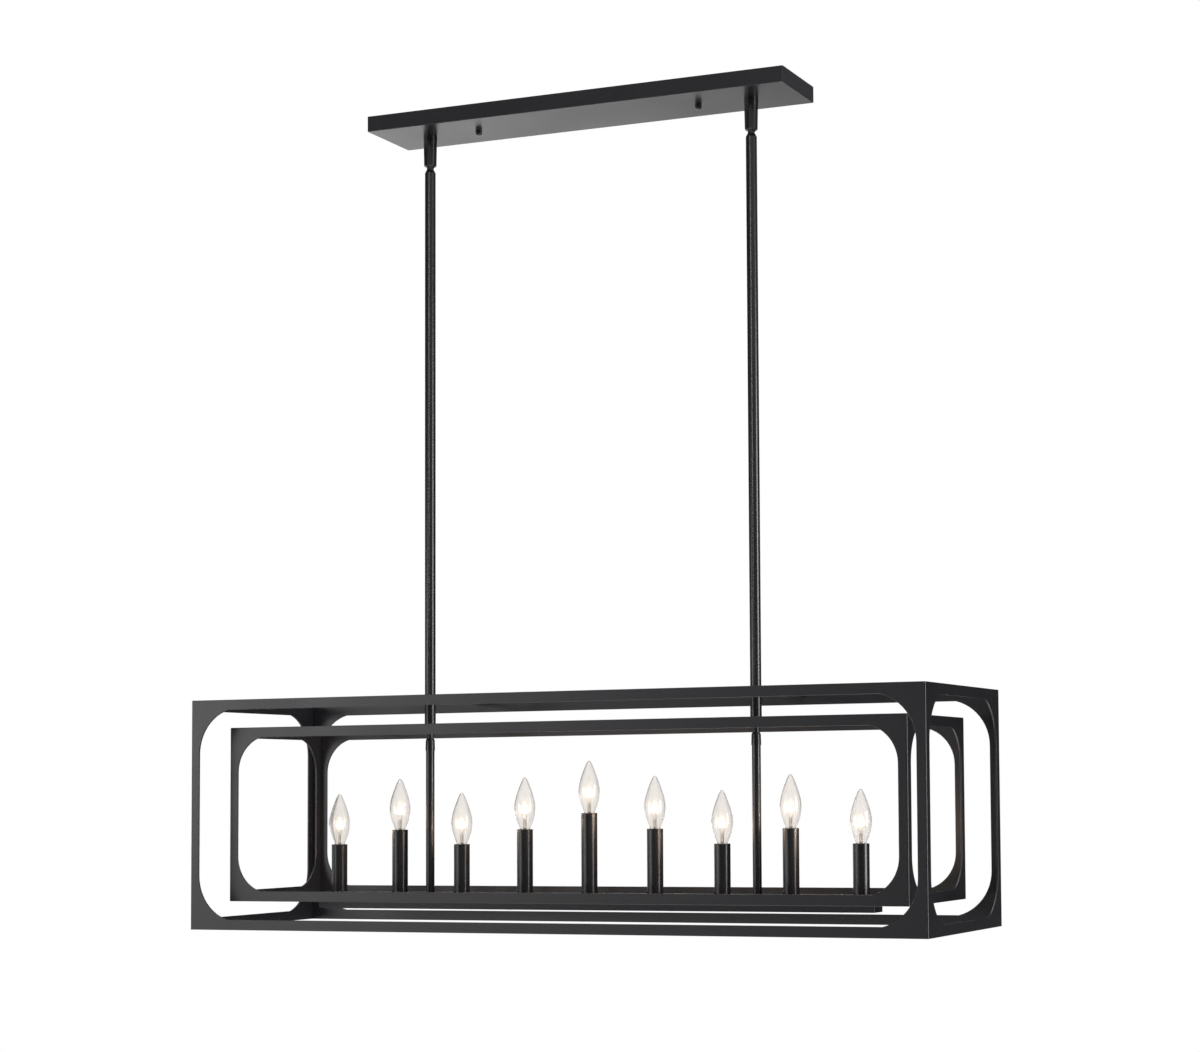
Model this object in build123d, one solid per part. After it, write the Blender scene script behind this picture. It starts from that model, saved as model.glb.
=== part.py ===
from build123d import *
from math import cos, radians
import os

# Linear island pendant. Millimetres, +Z up, X along the fixture, -Y towards the viewer.
# The origin is the middle of the canopy on the ceiling plane, so all of it hangs at negative Z.

# ---------------------------------------------------------------- driving dimensions
# Canopy pan and the strap bracket that holds it to the ceiling box
canopy_length = 673.0
canopy_width = 120.0
canopy_height = 23.0
canopy_wall = 1.2
canopy_corner_round = 2.0
canopy_edge_round = 0.8
bracket_length = 400.0
bracket_width = 30.0
bracket_thickness = 2.5
bracket_corner_round = 5.0
small_box_spacing = 69.85
large_box_spacing = 88.9
box_slot_width = 4.8
stud_spacing = 360.0
stud_diameter = 4.0
stud_flange_diameter = 8.0
stud_flange_height = 2.5
cap_nut_diameter = 9.6
cap_nut_height = 8.0
cap_nut_dome_height = 2.4
stud_in_cap_nut = 4.8
ground_screw_inboard = 30.0
ground_screw_diameter = 4.0
ground_head_diameter = 8.0
ground_head_height = 2.2
lead_diameter = 2.4
lead_spread = 1.45
lead_level = -8.0
lead_bend = 5.0
lane_change = 30.0
lane_bend = 15.0
clamp_approach = 15.0
connector_diameter = 9.0
connector_tip_diameter = 6.0
connector_length = 20.0
connector_reach = 12.0
lead_in_connector = 8.0

# Hanging stems: two of each piece
stem_spacing = 526.0
thread_diameter = 10.0
thread_bore = 6.0
thread_engagement = 12.0
nut_across_flats = 14.0
nut_height = 4.0
canopy_nipple_inside = 7.0
seat_diameter = 20.4
seat_height = 8.0
seat_thread_depth = 6.0
cup_top_diameter = 20.0
cup_bottom_diameter = 18.4
cup_length = 39.0
cup_lip_chamfer = 0.8
cup_lip_depth = 3.0
ball_diameter = 14.8
spigot_gap = 0.8
rod_diameter = 15.9
rod_wall = 1.2
rod_plug_length = 18.0
rod_neck_length = 5.4
rod_taper_length = 4.6
rod_taper_diameter = 11.4
spacer_diameter = 16.5
neck_length = 11.5
collar_length = 17.7
collar_bottom_diameter = 14.2
collar_shoulder_diameter = 13.4
collar_top_diameter = 10.8
collar_taper_length = 2.6
stub_diameter = 12.7
stub_wall = 1.0
stub_in_collar = 7.0
stub_plug_length = 14.0

# Two nested open cages of welded sheet
cage_drop = 875.0
outer_length = 1143.0
outer_depth = 324.0
outer_height = 336.0
cage_gap = 40.0
sheet = 2.5
rail_height = 15.0
post_width = 14.0
outer_arc_radius = 66.0
inner_arc_radius = 53.0
arc_crown_cut = 2.0
cage_corner_round = 2.0
cage_edge_round = 0.6
strap_width = 25.0
strap_thickness = 3.0

# Wireway bar and what stands on it
bar_length = 888.0
bar_width = 34.0
bar_height = 24.0
bar_wall = 1.5
bar_below_rail_edge = 5.0
cover_thickness = 1.5
cover_gap = 0.2
tab_width = 12.0
tab_spacing = 260.0
tab_count = 4
cover_screw_diameter = 4.0
cover_head_diameter = 7.5
cover_head_height = 0.8
candle_count = 9
candle_pitch = 104.8
short_sleeve = 71.0
medium_sleeve = 92.5
tall_sleeve = 115.5
sleeve_diameter = 23.4
sleeve_wall = 1.0
sleeve_edge_round = 0.4
socket_diameter = 16.4
socket_height = 36.0
socket_below_sleeve = 5.0
socket_well_depth = 21.0
socket_thread_depth = 8.0
contact_diameter = 4.0
wire_diameter = 4.4
loom_below_nuts = 3.0

# Clear flame lamps on candelabra bases
lamp_base_diameter = 11.9
lamp_shell_height = 14.0
lamp_insulator_height = 3.0
lamp_tip_diameter = 4.6
lamp_tip_height = 1.6
glass_height = 75.8
glass_diameter = 31.4
glass_widest_height = 31.5
glass_neck_diameter = 12.6
glass_taper_height = 63.0
glass_taper_diameter = 15.2
glass_shoulder_diameter = 8.0
glass_shoulder_drop = 4.2
glass_wall = 0.7
glass_foot_flare = 0.3
mount_height = 19.0
mount_foot_diameter = 7.0
mount_top_diameter = 3.4

# Fits and clearances
thread_fit = 0.05
ball_fit = 0.1
lamp_fit = 0.1
wire_fit = 0.1
hole_clearance = 0.3
lamp_contact_gap = 0.3

# ---------------------------------------------------------------- places worked out from them
canopy_bottom = -canopy_height
canopy_floor = canopy_bottom + canopy_wall
canopy_nipple_top = canopy_floor + canopy_nipple_inside
canopy_nipple_bottom = canopy_bottom - seat_thread_depth
seat_bottom = canopy_bottom - seat_height
cup_bottom = seat_bottom - cup_length
ball_centre = cup_bottom + cup_lip_depth
ball_radius = ball_diameter / 2
ball_cavity_radius = ball_radius + ball_fit
spigot_bottom = ball_centre + ball_cavity_radius + spigot_gap
rod_top = cup_bottom - rod_neck_length
cage_top = -cage_drop
inner_top = cage_top - cage_gap
inner_length = outer_length - 2 * cage_gap
inner_depth = outer_depth - 2 * cage_gap
inner_height = outer_height - 2 * cage_gap
collar_top = inner_top - strap_thickness - nut_height - neck_length
collar_bottom = collar_top - collar_length
stub_top = collar_bottom + stub_in_collar
bar_top = inner_top - inner_height + rail_height - bar_below_rail_edge
bar_bottom = bar_top - bar_height
cover_top = bar_bottom + cover_thickness
bar_inner_length = bar_length - 2 * bar_wall
bar_inner_width = bar_width - 2 * bar_wall
bar_nut_bottom = bar_top - bar_wall - nut_height
loom_level = bar_nut_bottom - loom_below_nuts - wire_diameter / 2
lamp_foot_drop = lamp_shell_height + lamp_insulator_height + lamp_tip_height
thread_hole = thread_diameter + 2 * thread_fit
clear_hole = thread_diameter + 2 * hole_clearance
stem_x = (-stem_spacing / 2, stem_spacing / 2)
stud_x = (-stud_spacing / 2, stud_spacing / 2)
ground_x = ground_screw_inboard - stud_spacing / 2
tab_x = [(i - (tab_count - 1) / 2) * tab_spacing for i in range(tab_count)]
candle_x = [(i - (candle_count - 1) / 2) * candle_pitch for i in range(candle_count)]


def sleeve_length(index):
    """Tall in the middle, then medium and short by turns towards both ends."""
    steps = abs(index - (candle_count - 1) // 2)
    if steps == 0:
        return tall_sleeve
    return medium_sleeve if steps % 2 else short_sleeve


sleeve_top = [bar_top + sleeve_length(i) for i in range(candle_count)]
socket_top = [level - socket_below_sleeve for level in sleeve_top]
socket_bottom = [level - socket_height for level in socket_top]


# ---------------------------------------------------------------- shapes used all over
def turned(points, x=0.0):
    """A lathe shape about the vertical line at x, from (radius, level) corners."""
    outline = Polyline(*[(radius, 0, level) for radius, level in points], close=True)
    return Pos(x, 0, 0) * revolve(make_face(outline), Axis.Z)


def round_bar(diameter, top, bottom, x=0.0):
    """A plain round solid standing between two levels."""
    return Pos(x, 0, (top + bottom) / 2) * Cylinder(diameter / 2, top - bottom)


def tube(diameter, bore, top, bottom, x=0.0):
    """A round tube standing between two levels."""
    return round_bar(diameter, top, bottom, x) - round_bar(bore, top, bottom, x)


def block(length, width, top, bottom, x=0.0):
    """A rectangular block standing between two levels, centred front to back."""
    return Pos(x, 0, (top + bottom) / 2) * Box(length, width, top - bottom)


def nipple(top, bottom, x):
    """Threaded pipe that the stems, the sockets and their nuts are screwed on."""
    return tube(thread_diameter, thread_bore, top, bottom, x)


def hex_nut(top, x):
    """A hex nut on the lamp thread, its upper face at top."""
    flats = RegularPolygon(nut_across_flats / 2, 6, major_radius=False)
    blank = Pos(x, 0, top - nut_height) * extrude(flats, nut_height)
    return blank - round_bar(thread_hole, top, top - nut_height, x)


# ---------------------------------------------------------------- ceiling hardware
def canopy_pan():
    """Shallow pan with its open side on the ceiling, holed for stems and studs."""
    pan = block(canopy_length, canopy_width, 0, canopy_bottom)
    pan = fillet(pan.edges().filter_by(Axis.Z), canopy_corner_round)
    pan = fillet(pan.faces().sort_by(Axis.Z)[0].edges(), canopy_edge_round)
    hollow = block(canopy_length - 2 * canopy_wall, canopy_width - 2 * canopy_wall, 0, canopy_floor)
    pan -= fillet(hollow.edges().filter_by(Axis.Z), canopy_corner_round - canopy_wall)
    for x in stem_x:
        pan -= round_bar(clear_hole, canopy_floor, canopy_bottom, x)
    for x in stud_x:
        pan -= round_bar(stud_diameter + 2 * hole_clearance, canopy_floor, canopy_bottom, x)
    return pan


def ceiling_bracket():
    """Flat strap with two slots that reach both usual outlet box screw spacings."""
    strap = block(bracket_length, bracket_width, 0, -bracket_thickness)
    strap = fillet(strap.edges().filter_by(Axis.Z), bracket_corner_round)
    slot_length = (large_box_spacing - small_box_spacing) / 2 + box_slot_width
    slot = extrude(SlotOverall(slot_length, box_slot_width), -bracket_thickness)
    for side in (-1, 1):
        strap -= Pos(side * (large_box_spacing + small_box_spacing) / 4, 0, 0) * slot
    for x in stud_x:
        strap -= round_bar(stud_diameter + 2 * thread_fit, 0, -bracket_thickness, x)
    return strap - round_bar(ground_screw_diameter + 2 * thread_fit, 0, -bracket_thickness, ground_x)


def bracket_stud(x):
    """Stud screwed in the bracket up to its flange, reaching through the pan."""
    stud = round_bar(stud_diameter, 0, canopy_bottom - stud_in_cap_nut, x)
    flange_top = -bracket_thickness
    return stud + round_bar(stud_flange_diameter, flange_top, flange_top - stud_flange_height, x)


def cap_nut(x):
    """Round domed nut that holds the pan up on its stud."""
    dome_level = canopy_bottom - cap_nut_height + cap_nut_dome_height
    nut_radius = cap_nut_diameter / 2
    dome = scale(Sphere(nut_radius), by=(1, 1, cap_nut_dome_height / nut_radius))
    nut = round_bar(cap_nut_diameter, canopy_bottom, dome_level, x) + Pos(x, 0, dome_level) * dome
    thread_end = canopy_bottom - stud_in_cap_nut - thread_fit
    return nut - round_bar(stud_diameter + 2 * thread_fit, canopy_bottom, thread_end, x)


def ground_screw():
    """Screw in the bracket that clamps the ground lead under its head."""
    head_top = -bracket_thickness - lead_diameter
    screw = round_bar(ground_screw_diameter, 0, head_top, ground_x)
    return screw + round_bar(ground_head_diameter, head_top, head_top - ground_head_height, ground_x)


def lead_path(points, radii):
    """A lead of round wire along straight runs joined by arcs."""
    path = FilletPolyline(*points, radius=radii)
    return sweep(Plane(path @ 0, z_dir=path % 0) * Circle(lead_diameter / 2), path=path)


def canopy_leads():
    """Two supply leads and the ground lead, from the left swivel up into the pan."""
    x = stem_x[0]
    side_x = lead_spread * cos(radians(30))
    front_y = -lead_spread / 2
    reach = connector_reach + lead_in_connector
    leads = []
    for side in (-1, 1):
        start_x = x + side * side_x
        points = [
            (start_x, front_y, spigot_bottom),
            (start_x, front_y, lead_level),
            (x + side * reach, front_y, lead_level),
        ]
        leads.append(lead_path(points, lead_bend))
    lane_y = bracket_width / 2
    clamp_y = (ground_screw_diameter + lead_diameter) / 2
    clamp_level = -bracket_thickness - lead_diameter / 2
    ground_points = [
        (x, lead_spread, spigot_bottom),
        (x, lead_spread, lead_level),
        (x, lane_y, lead_level),
        (ground_x - clamp_approach - lane_change, lane_y, lead_level),
        (ground_x - clamp_approach, clamp_y, clamp_level),
        (ground_x + ground_screw_diameter / 2, clamp_y, clamp_level),
    ]
    leads.append(lead_path(ground_points, [lead_bend, lead_bend, lane_bend, lane_bend]))
    return leads


def wire_connector(side):
    """Tapered twist-on cap over the end of one supply lead."""
    face = Plane((stem_x[0] + side * connector_reach, -lead_spread / 2, lead_level), z_dir=(side, 0, 0))
    cone = Cone(connector_diameter / 2, connector_tip_diameter / 2, connector_length)
    hole = Cylinder(lead_diameter / 2 + wire_fit, lead_in_connector)
    cone = Pos(0, 0, connector_length / 2) * cone - Pos(0, 0, lead_in_connector / 2) * hole
    return face * cone


# ---------------------------------------------------------------- swivels and stems
def swivel_seat(x):
    """Ring screwed up against the pan, with the long spigot that the cup screws on."""
    seat = round_bar(seat_diameter, canopy_bottom, seat_bottom, x)
    seat += round_bar(2 * (ball_cavity_radius - thread_fit), seat_bottom, spigot_bottom, x)
    seat -= round_bar(thread_hole, canopy_bottom, canopy_nipple_bottom, x)
    return seat - round_bar(thread_bore, canopy_nipple_bottom, spigot_bottom, x)


def swivel_cup(x):
    """Tapered cup whose rounded-in lip carries the ball."""
    lip_radius = cup_bottom_diameter / 2
    cup = turned(
        [
            (0, seat_bottom),
            (cup_top_diameter / 2, seat_bottom),
            (lip_radius, cup_bottom + cup_lip_chamfer),
            (lip_radius - cup_lip_chamfer, cup_bottom),
            (0, cup_bottom),
        ],
        x,
    )
    cup -= round_bar(2 * ball_cavity_radius, seat_bottom, ball_centre, x)
    return cup - Pos(x, 0, ball_centre) * Sphere(ball_cavity_radius)


def swivel_ball(x):
    """Ball with its threaded neck, bored for the wire."""
    neck_bottom = rod_top - thread_engagement
    ball = Pos(x, 0, ball_centre) * Sphere(ball_radius)
    ball += round_bar(thread_diameter, ball_centre, neck_bottom, x)
    return ball - round_bar(thread_bore, ball_centre + ball_radius, neck_bottom, x)


def upper_rod(x):
    """Long tube stem with a tapered top and a threaded plug in each end."""
    bore_radius = rod_diameter / 2 - rod_wall
    return turned(
        [
            (thread_hole / 2, rod_top),
            (rod_taper_diameter / 2, rod_top),
            (rod_diameter / 2, rod_top - rod_taper_length),
            (rod_diameter / 2, cage_top),
            (thread_hole / 2, cage_top),
            (thread_hole / 2, cage_top + rod_plug_length),
            (bore_radius, cage_top + rod_plug_length),
            (bore_radius, rod_top - rod_plug_length),
            (thread_hole / 2, rod_top - rod_plug_length),
        ],
        x,
    )


def stub_collar(x):
    """Slightly flared collar that joins the stub tube to the threaded pipe."""
    return turned(
        [
            (thread_hole / 2, collar_top),
            (collar_top_diameter / 2, collar_top),
            (collar_shoulder_diameter / 2, collar_top - collar_taper_length),
            (collar_bottom_diameter / 2, collar_bottom),
            (stub_diameter / 2 + thread_fit, collar_bottom),
            (stub_diameter / 2 + thread_fit, stub_top),
            (thread_hole / 2, stub_top),
        ],
        x,
    )


def stub_tube(x):
    """Short tube from the collar down to the bar, with a threaded plug at its foot."""
    bore_radius = stub_diameter / 2 - stub_wall
    return turned(
        [
            (bore_radius, stub_top),
            (stub_diameter / 2, stub_top),
            (stub_diameter / 2, bar_top),
            (thread_hole / 2, bar_top),
            (thread_hole / 2, bar_top + stub_plug_length),
            (bore_radius, bar_top + stub_plug_length),
        ],
        x,
    )


# ---------------------------------------------------------------- the two cages
def cut_out(length, height, arc_radius):
    """The opening of one panel: round corners whose crowns the rails cut off."""
    width = length - 2 * post_width
    rounded = RectangleRounded(width, height - 2 * (rail_height - arc_crown_cut), arc_radius)
    return rounded & Rectangle(width, height - 2 * rail_height)


def cage_ring(length, depth, height, arc_radius):
    """Open box of cut sheet with rounded upright corners and softened cut edges."""
    ring = fillet(Box(length, depth, height).edges().filter_by(Axis.Z), cage_corner_round)
    ring -= Box(length - 2 * sheet, depth - 2 * sheet, height)
    ring -= extrude(Plane.XZ * cut_out(length, height, arc_radius), depth, both=True)
    ring -= extrude(Plane.YZ * cut_out(depth, height, arc_radius), length, both=True)
    corners = ring.edges().filter_by(Axis.Z)
    corners = corners.filter_by(lambda edge: abs(edge.center().X) > length / 2 - post_width)
    corners = corners.filter_by(lambda edge: abs(edge.center().Y) > depth / 2 - post_width)
    return fillet(ring.edges() - corners, cage_edge_round)


def mitred_panels(length, depth, height, top, arc_radius):
    """The ring cut at its upright corners into the four panels that are welded there."""
    ring = cage_ring(length, depth, height, arc_radius)
    half_length = length / 2
    half_depth = depth / 2
    peak_x = half_length - half_depth
    long_wedge = Polygon(
        (-half_length, -half_depth), (half_length, -half_depth), (peak_x, 0), (-peak_x, 0), align=None
    )
    end_wedge = Polygon((half_length, -half_depth), (half_length, half_depth), (peak_x, 0), align=None)
    wedges = {
        "front": long_wedge,
        "back": Rot(0, 0, 180) * long_wedge,
        "right": end_wedge,
        "left": Rot(0, 0, 180) * end_wedge,
    }
    middle = Pos(0, 0, top - height / 2)
    return {side: middle * (ring & extrude(wedge, height, both=True)) for side, wedge in wedges.items()}


def cage_strap(depth, top, x):
    """Flat bar welded across a cage under its upper edges, holed for the threaded pipe."""
    return block(strap_width, depth - 2 * sheet, top, top - strap_thickness, x) - round_bar(
        clear_hole, top, top - strap_thickness, x
    )


# ---------------------------------------------------------------- wireway bar
def bar_channel():
    """Folded channel, open below, with closed ends and cross tabs for the cover screws."""
    channel = block(bar_length, bar_width, bar_top, bar_bottom)
    channel = fillet(channel.edges().filter_by(Axis.Z), bar_wall)
    channel = fillet(channel.faces().sort_by(Axis.Z)[-1].edges(), bar_wall / 2)
    channel -= block(bar_inner_length, bar_inner_width, bar_top - bar_wall, bar_bottom)
    tab_top = cover_top + bar_wall
    for x in tab_x:
        channel += block(tab_width, bar_inner_width, tab_top, cover_top, x)
        channel -= round_bar(cover_screw_diameter + 2 * thread_fit, tab_top, cover_top, x)
    for x in (*candle_x, *stem_x):
        channel -= round_bar(clear_hole, bar_top, bar_top - bar_wall, x)
    return channel


def bar_cover():
    """Flat strip that closes the channel from below."""
    cover = block(
        bar_inner_length - 2 * cover_gap, bar_inner_width - 2 * cover_gap, cover_top, bar_bottom
    )
    for x in tab_x:
        cover -= round_bar(cover_screw_diameter + 2 * hole_clearance, cover_top, bar_bottom, x)
    return cover


def cover_screw(x):
    """Machine screw up through the cover into a cross tab."""
    shank = round_bar(cover_screw_diameter, cover_top + 2 * bar_wall, bar_bottom, x)
    return shank + round_bar(cover_head_diameter, bar_bottom, bar_bottom - cover_head_height, x)


# ---------------------------------------------------------------- candles
def candle_sleeve(index):
    """Thin metal sleeve standing on the bar round its socket."""
    bore = sleeve_diameter - 2 * sleeve_wall
    sleeve = tube(sleeve_diameter, bore, sleeve_top[index], bar_top, candle_x[index])
    return fillet(sleeve.faces().sort_by(Axis.Z)[-1].edges(), sleeve_edge_round)


def lamp_socket(index):
    """Moulded socket with a well for the lamp base, a contact and a threaded foot."""
    x = candle_x[index]
    top = socket_top[index]
    bottom = socket_bottom[index]
    well_bottom = top - socket_well_depth
    socket = round_bar(socket_diameter, top, bottom, x)
    socket -= round_bar(lamp_base_diameter + 2 * lamp_fit, top, well_bottom, x)
    socket += round_bar(contact_diameter, top - lamp_foot_drop - lamp_contact_gap, well_bottom, x)
    return socket - round_bar(thread_hole, bottom + socket_thread_depth, bottom, x)


def bar_nipples():
    """Pipes from inside the bar up into both stub tubes and all sockets."""
    stub_nipples = [nipple(bar_top + thread_engagement, bar_nut_bottom, x) for x in stem_x]
    tops = [bottom + socket_thread_depth for bottom in socket_bottom]
    return stub_nipples + [nipple(top, bar_nut_bottom, x) for top, x in zip(tops, candle_x)]


def lamp_wiring():
    """Wire down the left stem, a loom along the bar and a riser into each socket."""
    wiring = round_bar(wire_diameter, ball_centre + ball_radius, loom_level, stem_x[0])
    for index, x in enumerate(candle_x):
        riser_top = socket_bottom[index] + socket_thread_depth
        wiring += round_bar(wire_diameter, riser_top, loom_level, x)
    loom = Cylinder(wire_diameter / 2, candle_x[-1] - candle_x[0])
    return wiring + Pos(0, 0, loom_level) * Rot(0, 90, 0) * loom


# ---------------------------------------------------------------- lamps
def flame_outline(wall):
    """Solid flame shape, drawn in by wall, standing on a sleeve top at level 0."""
    foot = -socket_below_sleeve
    neck = glass_neck_diameter / 2 - wall
    tip = glass_height - wall
    profile = Spline(
        (neck, 0, foot),
        (glass_diameter / 2 - wall, 0, glass_widest_height),
        (glass_taper_diameter / 2 - wall, 0, glass_taper_height),
        (glass_shoulder_diameter / 2 - wall, 0, tip - glass_shoulder_drop),
        (0, 0, tip),
        tangents=[(glass_foot_flare, 0, 1), (-1, 0, 0)],
    )
    base = Line((0, 0, foot), (neck, 0, foot))
    axis = Line((0, 0, tip), (0, 0, foot))
    return revolve(make_face([profile, base, axis]), Axis.Z)


def lamp_base(index):
    """Screw shell, insulator cone and foot contact."""
    top = socket_top[index]
    shell_bottom = top - lamp_shell_height
    cone_bottom = shell_bottom - lamp_insulator_height
    return turned(
        [
            (0, top),
            (lamp_base_diameter / 2, top),
            (lamp_base_diameter / 2, shell_bottom),
            (lamp_tip_diameter / 2, cone_bottom),
            (lamp_tip_diameter / 2, cone_bottom - lamp_tip_height),
            (0, cone_bottom - lamp_tip_height),
        ],
        candle_x[index],
    )


def lamp_mount(index):
    """Glass stem inside the lamp that carries the filament."""
    foot = socket_top[index]
    waist = foot + mount_height / 2
    top = foot + mount_height
    return turned(
        [
            (0, foot),
            (mount_foot_diameter / 2, foot),
            (mount_top_diameter / 2, waist),
            (mount_top_diameter / 2, top),
            (0, top),
        ],
        candle_x[index],
    )


# ---------------------------------------------------------------- write every node
def save(name, *solids):
    """One node: a single solid, or a group of separate ones."""
    shape = solids[0] if len(solids) == 1 else Compound(children=list(solids))
    shape.label = name
    export_step(shape, f"parts/{name}.step")


os.makedirs("parts", exist_ok=True)
save("canopy_pan", canopy_pan())
save("ceiling_bracket", ceiling_bracket())
save("bracket_studs", *[bracket_stud(x) for x in stud_x])
save("cap_nuts", *[cap_nut(x) for x in stud_x])
save("ground_screw", ground_screw())
save("canopy_leads", *canopy_leads())
save("wire_connectors", wire_connector(-1), wire_connector(1))
save("canopy_nipples", *[nipple(canopy_nipple_top, canopy_nipple_bottom, x) for x in stem_x])
save("canopy_locknuts", *[hex_nut(canopy_floor + nut_height, x) for x in stem_x])

for side, x in zip(("left", "right"), stem_x):
    save(f"swivel_seat_{side}", swivel_seat(x))
    save(f"swivel_cup_{side}", swivel_cup(x))
    save(f"swivel_ball_{side}", swivel_ball(x))
    save(f"upper_rod_{side}", upper_rod(x))
    save(f"spacer_tube_{side}", tube(spacer_diameter, clear_hole, cage_top - strap_thickness, inner_top, x))
    save(f"stub_collar_{side}", stub_collar(x))
    save(f"stub_tube_{side}", stub_tube(x))

for side, panel in mitred_panels(
    outer_length, outer_depth, outer_height, cage_top, outer_arc_radius
).items():
    save(f"outer_{side}_panel", panel)
for side, panel in mitred_panels(
    inner_length, inner_depth, inner_height, inner_top, inner_arc_radius
).items():
    save(f"inner_{side}_panel", panel)
save("outer_straps", *[cage_strap(outer_depth, cage_top, x) for x in stem_x])
save("inner_straps", *[cage_strap(inner_depth, inner_top, x) for x in stem_x])
save("cage_nipples", *[nipple(cage_top + thread_engagement, stub_top, x) for x in stem_x])
save("strap_nuts", *[hex_nut(inner_top - strap_thickness, x) for x in stem_x])

save("bar_channel", bar_channel())
save("bar_cover", bar_cover())
save("cover_screws", *[cover_screw(x) for x in tab_x])
save("bar_nipples", *bar_nipples())
save("bar_nuts", *[hex_nut(bar_top - bar_wall, x) for x in (*stem_x, *candle_x)])
save("lamp_sockets", *[lamp_socket(index) for index in range(candle_count)])
save("lamp_wiring", lamp_wiring())

envelope = flame_outline(0.0) - flame_outline(glass_wall)
for index in range(candle_count):
    save(f"candle_sleeve_{index + 1}", candle_sleeve(index))
    glass = Pos(candle_x[index], 0, sleeve_top[index]) * envelope
    save(f"lamp_{index + 1}", glass, lamp_base(index), lamp_mount(index))
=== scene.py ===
from math import cos, pi, radians, sin
from mathutils import Matrix, Vector
import bpy


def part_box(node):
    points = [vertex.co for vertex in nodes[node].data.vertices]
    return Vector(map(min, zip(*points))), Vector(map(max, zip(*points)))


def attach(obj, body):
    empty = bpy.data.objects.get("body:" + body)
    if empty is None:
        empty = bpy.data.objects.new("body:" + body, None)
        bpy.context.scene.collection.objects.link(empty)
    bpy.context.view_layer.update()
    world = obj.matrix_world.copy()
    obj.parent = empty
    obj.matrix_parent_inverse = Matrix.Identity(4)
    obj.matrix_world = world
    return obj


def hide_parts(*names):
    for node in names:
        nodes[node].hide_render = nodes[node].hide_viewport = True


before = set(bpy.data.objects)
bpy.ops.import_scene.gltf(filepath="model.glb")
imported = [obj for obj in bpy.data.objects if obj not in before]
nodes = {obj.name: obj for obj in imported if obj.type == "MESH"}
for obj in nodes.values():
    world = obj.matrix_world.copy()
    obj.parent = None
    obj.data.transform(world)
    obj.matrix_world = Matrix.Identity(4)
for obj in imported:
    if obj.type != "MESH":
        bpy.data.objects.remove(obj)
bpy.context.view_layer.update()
scene = bpy.context.scene


# The viewpoint: a long lens from the right of the fixture, a little under its lower cage and
# tipped up, with the frame's centre held beside the lens axis as a corrected studio shot has it.
image_width, image_height = 1200, 1052
focal_pixels = 2503.4
axis_pixel = (808.6, 636.1)
camera_place = (1.6281, -3.2647, -1.0217)
camera_yaw, camera_pitch, camera_roll = radians(21.471), radians(3.620), radians(0.542)

camera = bpy.data.objects.new("camera", bpy.data.cameras.new("camera"))
scene.collection.objects.link(camera)
camera.matrix_world = (
    Matrix.Translation(camera_place)
    @ Matrix.Rotation(camera_yaw, 4, "Z")
    @ Matrix.Rotation(camera_pitch, 4, "X")
    @ Matrix.Rotation(camera_roll, 4, "Y")
    @ Matrix.Rotation(pi / 2, 4, "X")
)
camera.data.sensor_fit = "HORIZONTAL"
camera.data.lens = camera.data.sensor_width * focal_pixels / image_width
camera.data.shift_x = (image_width / 2 - axis_pixel[0]) / image_width
camera.data.shift_y = (axis_pixel[1] - image_height / 2) / image_width
camera.data.clip_end = 100
scene.camera = camera


# All the black sheet metal: blasted and powder coated satin black. Under the light the coat has
# a very fine orange peel, and its gloss drifts a little from place to place.
class Wire:
    """A shader value: sums written on it add Math nodes, and node() adds any other node."""

    def __init__(self, tree, socket=None):
        self.tree = tree
        self.socket = socket

    def node(self, kind, settings=None, inputs=None, output=0):
        made = self.tree.nodes.new("ShaderNode" + kind)
        for name, value in (settings or {}).items():
            setattr(made, name, value)
        for name, value in (inputs or {}).items():
            if isinstance(value, Wire):
                self.tree.links.new(value.socket, made.inputs[name])
            else:
                made.inputs[name].default_value = value
        return Wire(self.tree, made.outputs[output])

    def math(self, operation, first, second):
        return self.node("Math", {"operation": operation}, {0: first, 1: second})

    def __add__(self, other):
        return self.math("ADD", self, other)

    def __sub__(self, other):
        return self.math("SUBTRACT", self, other)

    def __rsub__(self, other):
        return self.math("SUBTRACT", other, self)

    def __mul__(self, other):
        return self.math("MULTIPLY", self, other)

    __radd__ = __add__
    __rmul__ = __mul__


def new_material(name):
    """A material with its surface shader, and a Wire to build the rest from."""
    material = bpy.data.materials.new(name)
    material.use_nodes = True
    return material, Wire(material.node_tree), material.node_tree.nodes["Principled BSDF"]


def feed(shader, **values):
    """Sets the shader's sockets: a Wire is linked, anything else is set on the socket."""
    for name, value in values.items():
        socket = shader.inputs[name.replace("_", " ")]
        if isinstance(value, Wire):
            value.tree.links.new(value.socket, socket)
        else:
            socket.default_value = value


def speckle(wire, per_metre, detail=2.0):
    """Noise on the piece's own coordinates, with so many grains to the metre."""
    place = wire.node("TexCoord", output="Object")
    return wire.node("TexNoise", None, {"Vector": place, "Scale": per_metre, "Detail": detail})


def vary(noise, reach):
    """Noise turned to swing round 0, by reach from end to end."""
    return (noise - 0.5) * reach


def relief(height, strength, depth):
    """A surface normal that follows the height given, up to so many metres deep."""
    return height.node("Bump", None, {"Height": height, "Strength": strength, "Distance": depth})


def blend(wire, amount, first, second):
    """A colour between two: sockets 6, 7 and 2 are the Mix node's colour ones."""
    return wire.node(
        "Mix", {"data_type": "RGBA"}, {0: amount, 6: (*first, 1), 7: (*second, 1)}, output=2
    )


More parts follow.
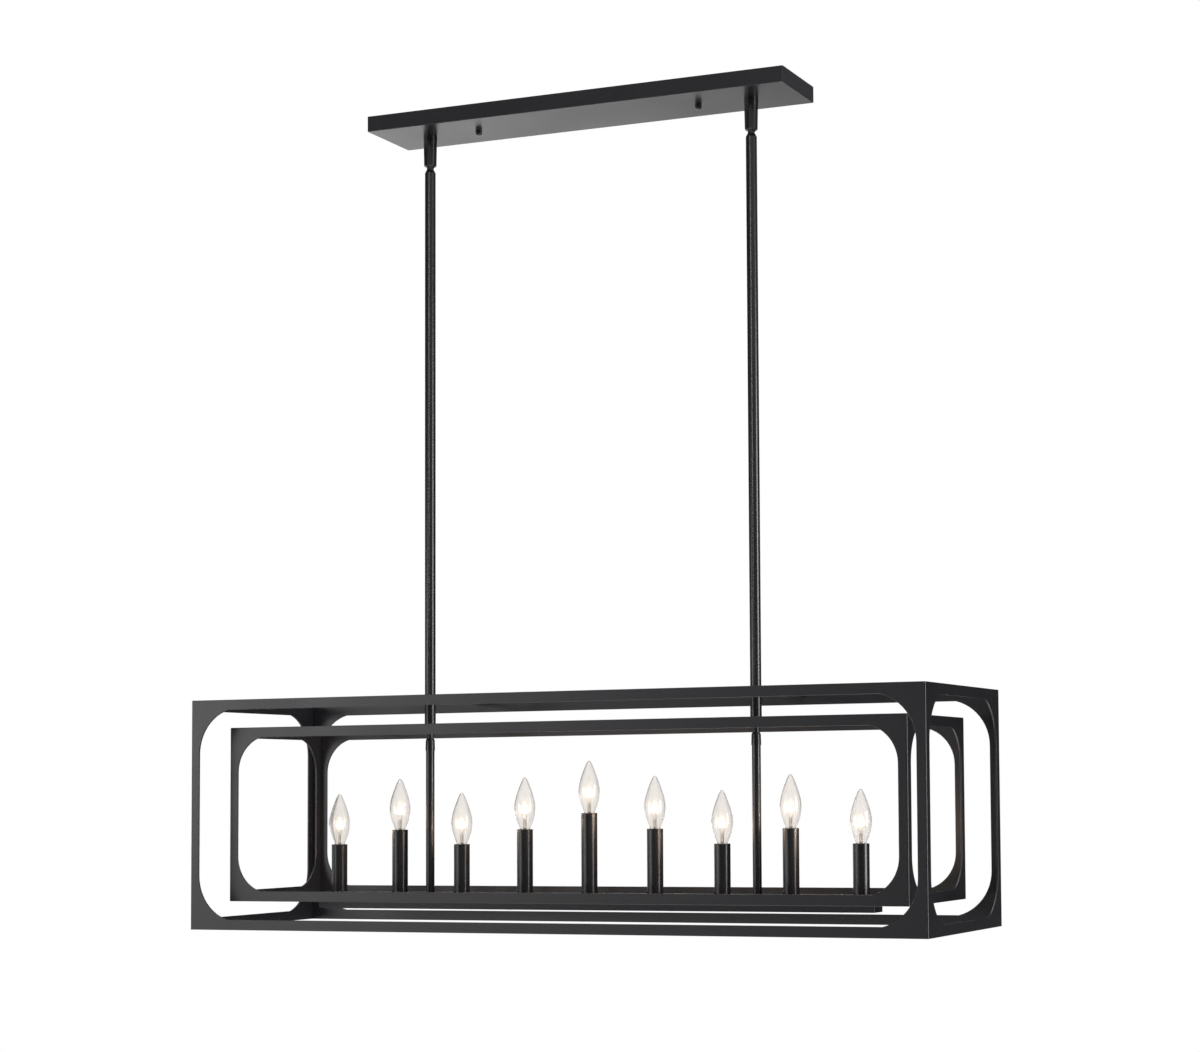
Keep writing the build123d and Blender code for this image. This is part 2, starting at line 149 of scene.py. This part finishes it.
def powder_coat(name, dark, light, roughness):
    """Satin black powder coat between two blacks."""
    material, wire, shader = new_material(name)
    drift = speckle(wire, per_metre=9.0, detail=3.0)
    grain = speckle(wire, per_metre=900.0)
    feed(
        shader,
        Base_Color=blend(wire, drift, dark, light),
        Roughness=roughness + vary(drift, reach=0.10) + vary(grain, reach=0.02),
        Normal=relief(grain, strength=0.05, depth=0.0003),
    )
    return material


def dress(material, *names):
    """Gives CAD nodes one material all over."""
    for name in names:
        data = nodes[name].data
        data.materials.clear()
        data.materials.append(material)


sheet_coat = powder_coat(
    "satin_black_coat",
    dark=(0.0060, 0.0060, 0.0075),
    light=(0.0100, 0.0095, 0.0115),
    roughness=0.36,
)
sides = ("left", "right")
faces = ("front", "back", "left", "right")
dress(sheet_coat, "canopy_pan", "outer_straps", "inner_straps", "bar_channel", "bar_cover")
dress(sheet_coat, *[f"{cage}_{face}_panel" for cage in ("outer", "inner") for face in faces])


# Turned and tube parts: stems, swivels, nuts and candle sleeves. They wear the same black coat,
# smoother over machined steel, so the tubes carry a long soft line of light.
lamp_count = 9
lamp_numbers = range(1, lamp_count + 1)
tube_coat = powder_coat(
    "smooth_black_coat",
    dark=(0.005, 0.005, 0.006),
    light=(0.009, 0.009, 0.010),
    roughness=0.25,
)
stem_pieces = (
    "swivel_seat", "swivel_cup", "swivel_ball", "upper_rod",
    "spacer_tube", "stub_collar", "stub_tube",
)
dress(tube_coat, *[f"{piece}_{side}" for piece in stem_pieces for side in sides])
dress(tube_coat, "cap_nuts", "cage_nipples", "strap_nuts", "cover_screws")
dress(tube_coat, *[f"candle_sleeve_{number}" for number in lamp_numbers])


# Hidden ceiling hardware and the threaded pipes: pressed and turned steel, bright zinc plated,
# with the fine drawn lines of the bar it was cut from.
def plated(name, colour, roughness):
    """Plated metal: faint stains in its colour, and lines drawn along the piece's X axis."""
    lines_per_metre = (4, 900, 900)
    stain_shade = 0.82
    material, wire, shader = new_material(name)
    place = wire.node("TexCoord", output="Object")
    drawn = wire.node("Mapping", None, {"Vector": place, "Scale": lines_per_metre})
    lines = wire.node("TexNoise", None, {"Vector": drawn, "Scale": 1.0, "Detail": 3.0})
    stain = speckle(wire, per_metre=40.0)
    stained = tuple(stain_shade * part for part in colour)
    feed(
        shader,
        Base_Color=blend(wire, stain, stained, colour),
        Metallic=1.0,
        Roughness=roughness + vary(lines, reach=0.16),
        Normal=relief(lines, strength=0.2, depth=0.0001),
    )
    return material


zinc = plated("zinc_plate", (0.60, 0.61, 0.63), roughness=0.34)
dress(zinc, "ceiling_bracket", "bracket_studs", "canopy_nipples", "canopy_locknuts")
dress(zinc, "bar_nipples", "bar_nuts")
green_plate = plated("green_ground_plate", (0.05, 0.30, 0.10), roughness=0.38)
dress(green_plate, "ground_screw")


# Moulded and insulated parts: phenolic sockets, twist-on connectors and the wires' covering.
# Each has a faint grain in its colour and its gloss.
def moulded(name, dark, light, roughness, per_metre):
    """A moulded surface between two tones, with so many grains to the metre."""
    material, wire, shader = new_material(name)
    grain = speckle(wire, per_metre)
    feed(
        shader,
        Base_Color=blend(wire, grain, dark, light),
        Roughness=roughness + vary(grain, reach=0.12),
        Normal=relief(grain, strength=0.15, depth=0.0002),
    )
    return material


phenolic = moulded(
    "black_phenolic", (0.020, 0.018, 0.017), (0.032, 0.029, 0.027), roughness=0.42, per_metre=1100.0
)
dress(phenolic, "lamp_sockets")
connector = moulded(
    "orange_connector", (0.70, 0.21, 0.03), (0.80, 0.27, 0.05), roughness=0.40, per_metre=500.0
)
dress(connector, "wire_connectors")
covering = moulded(
    "wire_covering", (0.025, 0.025, 0.026), (0.04, 0.04, 0.042), roughness=0.35, per_metre=700.0
)
dress(covering, "canopy_leads", "lamp_wiring")


# Flame lamps: a blown envelope of clear glass drawn to a point, its foot cemented in a nickel
# screw shell. One envelope is shaped ring by ring and later copied to every socket.
foot_below_sleeve = 0.005
wall = 0.0011
ring_corners = 64
# (height above the sleeve's top, radius) in metres, foot first
flame_rings = [
    (-0.0050, 0.00630),
    (-0.0020, 0.00685),
    (0.0015, 0.00805),
    (0.0050, 0.00940),
    (0.0095, 0.01130),
    (0.0150, 0.01320),
    (0.0215, 0.01475),
    (0.0280, 0.01555),
    (0.0325, 0.01565),
    (0.0395, 0.01490),
    (0.0470, 0.01320),
    (0.0540, 0.01100),
    (0.0600, 0.00885),
    (0.0660, 0.00645),
    (0.0700, 0.00480),
    (0.0728, 0.00335),
    (0.0746, 0.00205),
    (0.0756, 0.00040),
]


def deselect():
    for piece in bpy.context.selected_objects:
        piece.select_set(False)


def stack_of_rings(name, rings, corners, cap_start=False, cap_end=False):
    """A lathe form about the Z axis: a circle pulled up ring by ring, with closed ends if asked."""
    deselect()
    height, radius = rings[0]
    fill = "NGON" if cap_start else "NOTHING"
    bpy.ops.mesh.primitive_circle_add(
        vertices=corners, radius=radius, location=(0, 0, height), fill_type=fill
    )
    piece = bpy.context.object
    piece.name = name
    bpy.ops.object.transform_apply()
    bpy.ops.object.mode_set(mode="EDIT")
    bpy.ops.mesh.select_mode(type="EDGE")
    bpy.ops.mesh.select_all(action="SELECT")
    for (low, inner), (high, outer) in zip(rings, rings[1:]):
        bpy.ops.mesh.extrude_edges_move(TRANSFORM_OT_translate={"value": (0, 0, high - low)})
        scale = outer / inner
        bpy.ops.transform.resize(value=(scale, scale, 1), center_override=(0, 0, high))
    if cap_end:
        bpy.ops.mesh.edge_face_add()
    bpy.ops.mesh.select_all(action="SELECT")
    bpy.ops.mesh.normals_make_consistent(inside=False)
    bpy.ops.object.mode_set(mode="OBJECT")
    bpy.ops.object.shade_smooth_by_angle(angle=radians(35))
    return piece


def place_copy(piece, name, offset):
    """A copy with its own mesh, moved by offset inside that mesh."""
    copy = piece.copy()
    copy.data = piece.data.copy()
    copy.name = name
    copy.data.name = name
    scene.collection.objects.link(copy)
    copy.data.transform(Matrix.Translation(offset))
    return copy


def apply_modifiers(piece):
    deselect()
    bpy.context.view_layer.objects.active = piece
    piece.select_set(True)
    for modifier in list(piece.modifiers):
        bpy.ops.object.modifier_apply(modifier=modifier.name)


# Clear glass with a slow ripple, and over it a share of frosted glass: the veil that the glow
# inside a lit lamp spreads over its wall.
glass_index = 1.47
glass_tint = (0.93, 0.915, 0.90, 1)
veil_tint = (1.0, 0.95, 0.89, 1)
veil_roughness = 0.40
veil_share = 0.25
glass, glass_wire, glass_shader = new_material("clear_lamp_glass")
ripple = speckle(glass_wire, per_metre=60.0, detail=1.0)
feed(
    glass_shader,
    Base_Color=glass_tint,
    Transmission_Weight=1.0,
    Roughness=0.0,
    IOR=glass_index,
    Normal=relief(ripple, strength=0.01, depth=0.0003),
)
veil_values = {
    "Base Color": veil_tint,
    "Transmission Weight": 1.0,
    "Roughness": veil_roughness,
    "IOR": glass_index,
}
veil = glass_wire.node("BsdfPrincipled", None, veil_values)
clear = Wire(glass_wire.tree, glass_shader.outputs[0])
veiled = glass_wire.node("MixShader", None, {0: veil_share, 1: clear, 2: veil})
glass_output = glass_wire.tree.nodes["Material Output"]
glass_wire.tree.links.new(veiled.socket, glass_output.inputs["Surface"])

envelope = stack_of_rings("lamp_glass", flame_rings, ring_corners, cap_end=True)
thickness = envelope.modifiers.new("wall", "SOLIDIFY")
thickness.thickness = wall
thickness.offset = -1
apply_modifiers(envelope)
envelope.data.materials.append(glass)


# The screw shell: thin nickel-plated brass rolled into a round thread, with a black glass
# insulator and a soldered contact under it.
shell_radius = 0.00595
thread_depth = 0.0005
thread_pitch = 0.0025
shell_height = 0.014
shell_corners = 32
insulator_height = 0.003
contact_height = 0.0016
contact_radius = 0.0023
small_corners = 24
shell_foot = -foot_below_sleeve - shell_height
shell_steps = int(2 * shell_height / thread_pitch)
shell_rings = [
    (shell_foot + step * thread_pitch / 2, shell_radius - (step % 2) * thread_depth)
    for step in range(shell_steps)
]
shell_rings.append((-foot_below_sleeve, shell_radius))
screw_shell = stack_of_rings(
    "lamp_shell", shell_rings, shell_corners, cap_start=True, cap_end=True
)
screw_shell.data.materials.append(plated("nickel_shell", (0.74, 0.72, 0.68), roughness=0.24))

insulator_foot = shell_foot - insulator_height
insulator_rings = [
    (insulator_foot, contact_radius),
    (shell_foot, shell_radius - thread_depth),
]
insulator = stack_of_rings(
    "lamp_insulator", insulator_rings, shell_corners, cap_start=True, cap_end=True
)
black_glass = moulded(
    "black_glass", (0.012, 0.012, 0.013), (0.02, 0.02, 0.02), roughness=0.15, per_metre=300.0
)
insulator.data.materials.append(black_glass)
contact_rings = [
    (insulator_foot - contact_height, contact_radius * 0.5),
    (insulator_foot - contact_height * 0.7, contact_radius * 0.85),
    (insulator_foot, contact_radius),
]
contact = stack_of_rings(
    "lamp_contact", contact_rings, small_corners, cap_start=True, cap_end=True
)
contact.data.materials.append(plated("solder", (0.62, 0.62, 0.60), roughness=0.42))


# Inside the envelope: a mount of lead glass, flared at its foot and pinched flat at its top,
# which holds the wires. Streaks in the glass tint it from place to place.
mount_top = 0.0135
pinch_foot = 0.007
pinch_scale = (1.5, 0.6, 1)
mount_rings = [
    (-foot_below_sleeve + 0.0002, 0.0035),
    (-0.0020, 0.0027),
    (0.0020, 0.0019),
    (0.0080, 0.0017),
    (mount_top, 0.0016),
]
mount = stack_of_rings("lamp_mount", mount_rings, small_corners, cap_start=True, cap_end=True)
lead_glass, lead_wire, lead_shader = new_material("lead_glass")
streaks = speckle(lead_wire, per_metre=400.0, detail=1.0)
feed(
    lead_shader,
    Base_Color=blend(lead_wire, streaks, (0.70, 0.62, 0.53), (0.86, 0.80, 0.73)),
    Transmission_Weight=1.0,
    Roughness=0.03,
    IOR=1.56,
)
mount.data.materials.append(lead_glass)
bpy.ops.object.mode_set(mode="EDIT")
bpy.ops.mesh.select_all(action="DESELECT")
bpy.ops.object.mode_set(mode="OBJECT")
for corner in mount.data.vertices:
    corner.select = corner.co.z > pinch_foot
bpy.ops.object.mode_set(mode="EDIT")
bpy.ops.mesh.select_mode(type="VERT")
bpy.ops.transform.resize(value=pinch_scale, center_override=(0, 0, mount_top))
bpy.ops.object.mode_set(mode="OBJECT")


# The mount's wires: two thick lead-in wires along it, two leads that spread from its top and
# two thinner hooks, all oxidised brown by the heat.
wire_radius = 0.00032
hook_radius = 0.7 * wire_radius
lead_in_radius = 0.00055
lead_spread, lead_top = 0.0042, 0.0240
hook_spread, hook_top = 0.0014, 0.0350
# (name, foot, top, radius), with foot and top as (distance from the middle, height)
support_runs = [
    ("lead", (0.0012, 0.0100), (lead_spread, lead_top), wire_radius),
    ("hook", (0.0005, 0.0120), (hook_spread, hook_top), hook_radius),
    ("lead_in", (0.0026, -0.0035), (0.0012, 0.0105), lead_in_radius),
]


def straight_wire(name, start, end, radius):
    """A round wire between two points, with its ends closed."""
    deselect()
    run = Vector(end) - Vector(start)
    bpy.ops.mesh.primitive_cylinder_add(
        vertices=8,
        radius=radius,
        depth=run.length,
        location=(Vector(start) + Vector(end)) / 2,
        rotation=run.to_track_quat("Z", "Y").to_euler(),
    )
    piece = bpy.context.object
    piece.name = name
    bpy.ops.object.transform_apply()
    bpy.ops.object.mode_set(mode="EDIT")
    bpy.ops.mesh.bevel(offset=radius * 0.3, segments=1)
    bpy.ops.object.mode_set(mode="OBJECT")
    bpy.ops.object.shade_smooth_by_angle(angle=radians(50))
    return piece


def join(name, pieces):
    deselect()
    for piece in pieces:
        piece.select_set(True)
    bpy.context.view_layer.objects.active = pieces[0]
    bpy.ops.object.join()
    pieces[0].name = name
    return pieces[0]


supports = join(
    "lamp_supports",
    [
        straight_wire(name, (side * foot[0], 0, foot[1]), (side * top[0], 0, top[1]), radius)
        for name, foot, top, radius in support_runs
        for side in (-1, 1)
    ],
)
supports.data.materials.append(plated("support_wire", (0.30, 0.21, 0.15), roughness=0.38))


# The filament: coiled tungsten wire that runs from lead to hook to middle to hook to lead, lit.
# Its colour is the warm one of a lamp at full voltage.
coil_radius = 0.00055
coil_wire_radius = 0.00016
coil_pitch = 0.00065
coil_steps = 10
filament_colour = (0.4, 0.36, 0.32, 1)
filament_light = (1.0, 0.78, 0.50, 1)
filament_strength = 25.0
filament_points = [
    (-lead_spread, 0, lead_top),
    (-hook_spread, 0, hook_top),
    (0, 0, lead_top),
    (hook_spread, 0, hook_top),
    (lead_spread, 0, lead_top),
]
hot, _, hot_shader = new_material("lit_filament")
feed(
    hot_shader,
    Base_Color=filament_colour,
    Metallic=1.0,
    Roughness=0.4,
    Emission_Color=filament_light,
    Emission_Strength=filament_strength,
)


def filament_run(start, end):
    """A coiled length of filament from one support to the next."""
    deselect()
    run = Vector(end) - Vector(start)
    bpy.ops.mesh.primitive_circle_add(
        vertices=6,
        radius=coil_wire_radius,
        location=(coil_radius, 0, 0),
        rotation=(pi / 2, 0, 0),
    )
    piece = bpy.context.object
    bpy.ops.object.transform_apply()
    winding = piece.modifiers.new("winding", "SCREW")
    winding.screw_offset = coil_pitch
    winding.iterations = max(1, round(run.length / coil_pitch))
    winding.steps = coil_steps
    winding.render_steps = coil_steps
    apply_modifiers(piece)
    turn = run.to_track_quat("Z", "Y").to_matrix().to_4x4()
    piece.data.transform(Matrix.Translation(start) @ turn)
    return piece


filament = join(
    "lamp_filament",
    [filament_run(start, end) for start, end in zip(filament_points, filament_points[1:])],
)
filament.data.materials.append(hot)


# Every lamp: copies of its pieces stood in their own socket, and two warm lights in its glow.
# One light reaches the metal, the other the candle sleeves, which stand much closer to it.
warm_light = (1.0, 0.70, 0.46)
metal_power = 0.4
sleeve_power = 1.2
glow_radius = 0.0157
glow_height = 0.022
lit_metal = bpy.data.collections.new("lit_metal")
lit_sleeves = bpy.data.collections.new("lit_sleeves")
for name in nodes:
    receivers = lit_sleeves if name.startswith("candle_sleeve") else lit_metal
    receivers.objects.link(nodes[name])
lamp_lights = (
    ("metal_light", metal_power, lit_metal),
    ("sleeve_light", sleeve_power, lit_sleeves),
)
masters = {
    "lamp_glass": envelope,
    "lamp_shell": screw_shell,
    "lamp_insulator": insulator,
    "lamp_contact": contact,
    "lamp_mount": mount,
    "lamp_supports": supports,
    "lamp_filament": filament,
}
shadowless = ("lamp_glass", "lamp_mount", "lamp_supports")
for number in lamp_numbers:
    low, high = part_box(f"candle_sleeve_{number}")
    stand = Vector(((low.x + high.x) / 2, 0, high.z))
    for name, master in masters.items():
        piece = place_copy(master, f"{name}_{number}", stand)
        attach(piece, f"flame_lamp_{number}")
        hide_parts(f"lamp_{number}")
        if name in shadowless:
            piece.visible_shadow = False
    for kind, power, receivers in lamp_lights:
        glow = bpy.data.objects.new(f"{kind}_{number}", bpy.data.lights.new(kind, "POINT"))
        glow.data.color = warm_light
        glow.data.energy = power
        glow.data.shadow_soft_size = glow_radius
        glow.light_linking.receiver_collection = receivers
        glow.location = stand + Vector((0, 0, glow_height))
        scene.collection.objects.link(glow)
        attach(glow, f"flame_lamp_{number}")
for master in masters.values():
    bpy.data.objects.remove(master)


# The studio floor, far under the fixture: white where it is seen, with a trace of real paint so
# that it keeps the fixture's shadow. What the metal mirrors of it is a dim floor with a pale
# round card in the middle and a lit area far to the left.
floor_level = -2.6
floor_size = 60.0
lit_area_end, dim_floor_start = -4.45, -3.25
lit_area_strength, dim_floor_strength = 2.0, 0.10
card_rim_outer, card_rim_inner = 1.7, 1.1
card_strength = 2.6
shadow_share = 0.01


def ramp(value, start, end, low=0.0, high=1.0, kind="SMOOTHSTEP"):
    """low before start and high past end, with soft ends unless another kind is asked for."""
    values = {"Value": value, "From Min": start, "From Max": end, "To Min": low, "To Max": high}
    return value.node("MapRange", {"interpolation_type": kind}, values)


deselect()
bpy.ops.mesh.primitive_plane_add(size=floor_size, location=(0, 0, floor_level))
floor = bpy.context.object
floor.name = "studio_floor"
floor_paint, floor_wire, floor_shader = new_material("studio_floor_paint")
feed(floor_shader, Base_Color=(0.8, 0.8, 0.8, 1), Roughness=0.9)
floor.data.materials.append(floor_paint)
place = floor_wire.node("TexCoord", output="Object")
sideways = floor_wire.node("SeparateXYZ", None, {"Vector": place}, "X")
from_middle = floor_wire.node("VectorMath", {"operation": "LENGTH"}, {0: place}, "Value")
lit_area = ramp(
    sideways, lit_area_end, dim_floor_start, lit_area_strength, dim_floor_strength, "LINEAR"
)
card = ramp(from_middle, card_rim_outer, card_rim_inner, 0.0, card_strength)
seen = floor_wire.node("LightPath", output="Is Camera Ray")
through = floor_wire.node("LightPath", output="Is Transmission Ray")
mirrored = floor_wire.node("LightPath", output="Is Glossy Ray")
direct = floor_wire.math("MAXIMUM", seen, through)
glow_strength = direct + (1 - direct) * (lit_area + card)
white = floor_wire.node("Emission", None, {"Color": (1, 1, 1, 1), "Strength": glow_strength})
white_share = floor_wire.math("MAXIMUM", direct * (1 - shadow_share), mirrored)
paint = Wire(floor_wire.tree, floor_shader.outputs[0])
mixed = floor_wire.node("MixShader", None, {0: white_share, 1: paint, 2: white})
floor_output = floor_wire.tree.nodes["Material Output"]
floor_wire.tree.links.new(mixed.socket, floor_output.inputs["Surface"])


# The room: white where it is seen, also through the lamps' glass, whose edges show the dark
# sides of the set. The metal mirrors a dim room with a lit left wall, windows in front and
# behind, a strip overhead and a pale far left corner, each in its own strength of white.
dim_light = 0.015
near_light = 0.05
left_wall_light = 0.50
front_window_light = 0.75
back_window_light = 0.22
overhead_strip_light = 3.2
far_corner_light = 1.8
glass_edge_shade = 0.95
mirrored_tint, seen_tint = (0.94, 0.94, 1.0), (1, 1, 1)
# the two values of one part of the direction between which each lit part fades in or out
front_half = (0.2, -0.2)
above_horizon = (0.08, 0.25)
left_wall_span, left_wall_top = (-0.30, -0.58), (0.02, 0.12)
front_window_span = (-0.52, -0.25)
back_window_span = (0.0, 0.25)
overhead_strip_rim = (0.80, 0.90)
far_corner_depth, far_corner_span, far_corner_top = (0.60, 0.80), (0.05, -0.25), (0.06, 0.12)
straight_through = (0.70, 0.92)

world = bpy.data.worlds.new("studio_room")
scene.world = world
world.use_nodes = True
room = Wire(world.node_tree)
direction = room.node("TexCoord", output="Generated")
across = room.node("SeparateXYZ", None, {"Vector": direction}, "X")
deep = room.node("SeparateXYZ", None, {"Vector": direction}, "Y")
high = room.node("SeparateXYZ", None, {"Vector": direction}, "Z")
before = ramp(deep, *front_half)
above = ramp(high, *above_horizon)
left_wall = before * ramp(across, *left_wall_span) * (1 - ramp(high, *left_wall_top))
front_window = above * before * ramp(across, *front_window_span)
back_window = above * (1 - before) * ramp(across, *back_window_span)
overhead_strip = ramp(high, *overhead_strip_rim)
far_corner = ramp(deep, *far_corner_depth) * ramp(across, *far_corner_span)
far_corner = far_corner * (1 - ramp(high, *far_corner_top))
wall_light = (
    dim_light
    + before * near_light
    + left_wall * left_wall_light
    + front_window * front_window_light
    + back_window * back_window_light
    + overhead_strip * overhead_strip_light
    + far_corner * far_corner_light
)
camera_ray = room.node("LightPath", output="Is Camera Ray")
glass_ray = room.node("LightPath", output="Is Transmission Ray")
clear_view = room.math("MAXIMUM", camera_ray, glass_ray)
backdrop = deep * cos(camera_yaw) - across * sin(camera_yaw)
edge_of_glass = glass_ray * (1 - ramp(backdrop, *straight_through)) * glass_edge_shade
brightness = clear_view + (1 - clear_view) * wall_light - edge_of_glass
tint = blend(room, clear_view, mirrored_tint, seen_tint)
feed(world.node_tree.nodes["Background"], Strength=brightness, Color=tint)


# The lights: two soft boxes that grade the front of the cages from left to right, and a narrow
# strip that reaches the long rods only, for the second line of light along them.
def soft_box(name, place, target, width, height, power):
    light = bpy.data.objects.new(name, bpy.data.lights.new(name, "AREA"))
    light.data.shape = "RECTANGLE"
    light.data.size = width
    light.data.size_y = height
    light.data.energy = power
    light.location = place
    aim = Vector(target) - Vector(place)
    light.rotation_euler = aim.to_track_quat("-Z", "Y").to_euler()
    scene.collection.objects.link(light)
    return light


soft_box(
    "soft_box_left",
    place=(-2.70, -3.05, -0.72), target=(-0.3, 0, -0.9), width=1.5, height=0.75, power=17,
)
soft_box(
    "soft_box_right",
    place=(4.0, -0.1, -0.8), target=(0, 0, -0.8), width=1.3, height=2.2, power=105,
)
strip = soft_box(
    "strip_light",
    place=(-0.2, -3.0, 0.15), target=(-0.1, 0, -0.35), width=0.12, height=1.2, power=13,
)
lit_stems = bpy.data.collections.new("lit_stems")
for side in sides:
    lit_stems.objects.link(nodes[f"upper_rod_{side}"])
strip.light_linking.receiver_collection = lit_stems
scene.view_settings.view_transform = "Standard"
